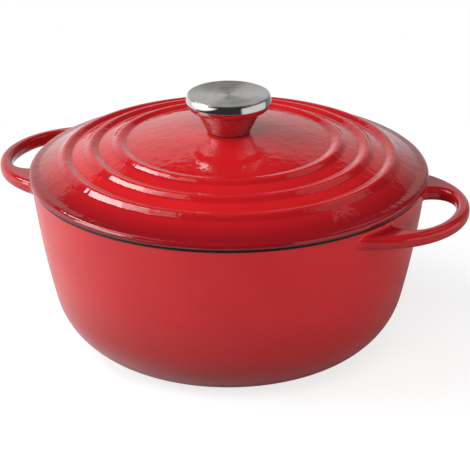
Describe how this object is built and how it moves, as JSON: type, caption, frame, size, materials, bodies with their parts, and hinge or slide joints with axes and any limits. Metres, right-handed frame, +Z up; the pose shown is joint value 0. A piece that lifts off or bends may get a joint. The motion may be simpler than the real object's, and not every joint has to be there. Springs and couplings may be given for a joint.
{
  "type": "cast iron dutch oven",
  "caption": "Round enamelled cast iron dutch oven with looped side handles and a stepped lid that lifts off by a stainless steel knob, for slow cooking on a hob or in an oven.",
  "frame": {"origin": "middle of the pot's base, on the plane it stands on", "axes": "+Z up through the knob, X through both handles"},
  "size_m": [0.3328, 0.268, 0.177],
  "materials": {
    "red_enamel": "gloss red enamel over cast iron",
    "polished_steel": "polished stainless steel",
    "satin_steel": "satin, spun brushing",
    "gasket_rubber": "matte, heat-proof",
    "fastener_steel": "plain stainless steel"
  },
  "bodies": {
    "pot": {"pot_body": "red_enamel", "left_handle": "red_enamel", "right_handle": "red_enamel"},
    "lid": {"lid": "red_enamel", "knob_gasket": "gasket_rubber", "knob_stem": "polished_steel", "knob_cap": "satin_steel", "knob_insert": "fastener_steel", "knob_screw": "fastener_steel", "flat_washer": "fastener_steel", "lock_washer": "fastener_steel"}
  },
  "joints": [
    {"name": "lid_lift", "type": "slide", "parent": "pot", "child": "lid", "axis": [0, 0, 1], "range_m": [0, 0.15]}
  ]
}
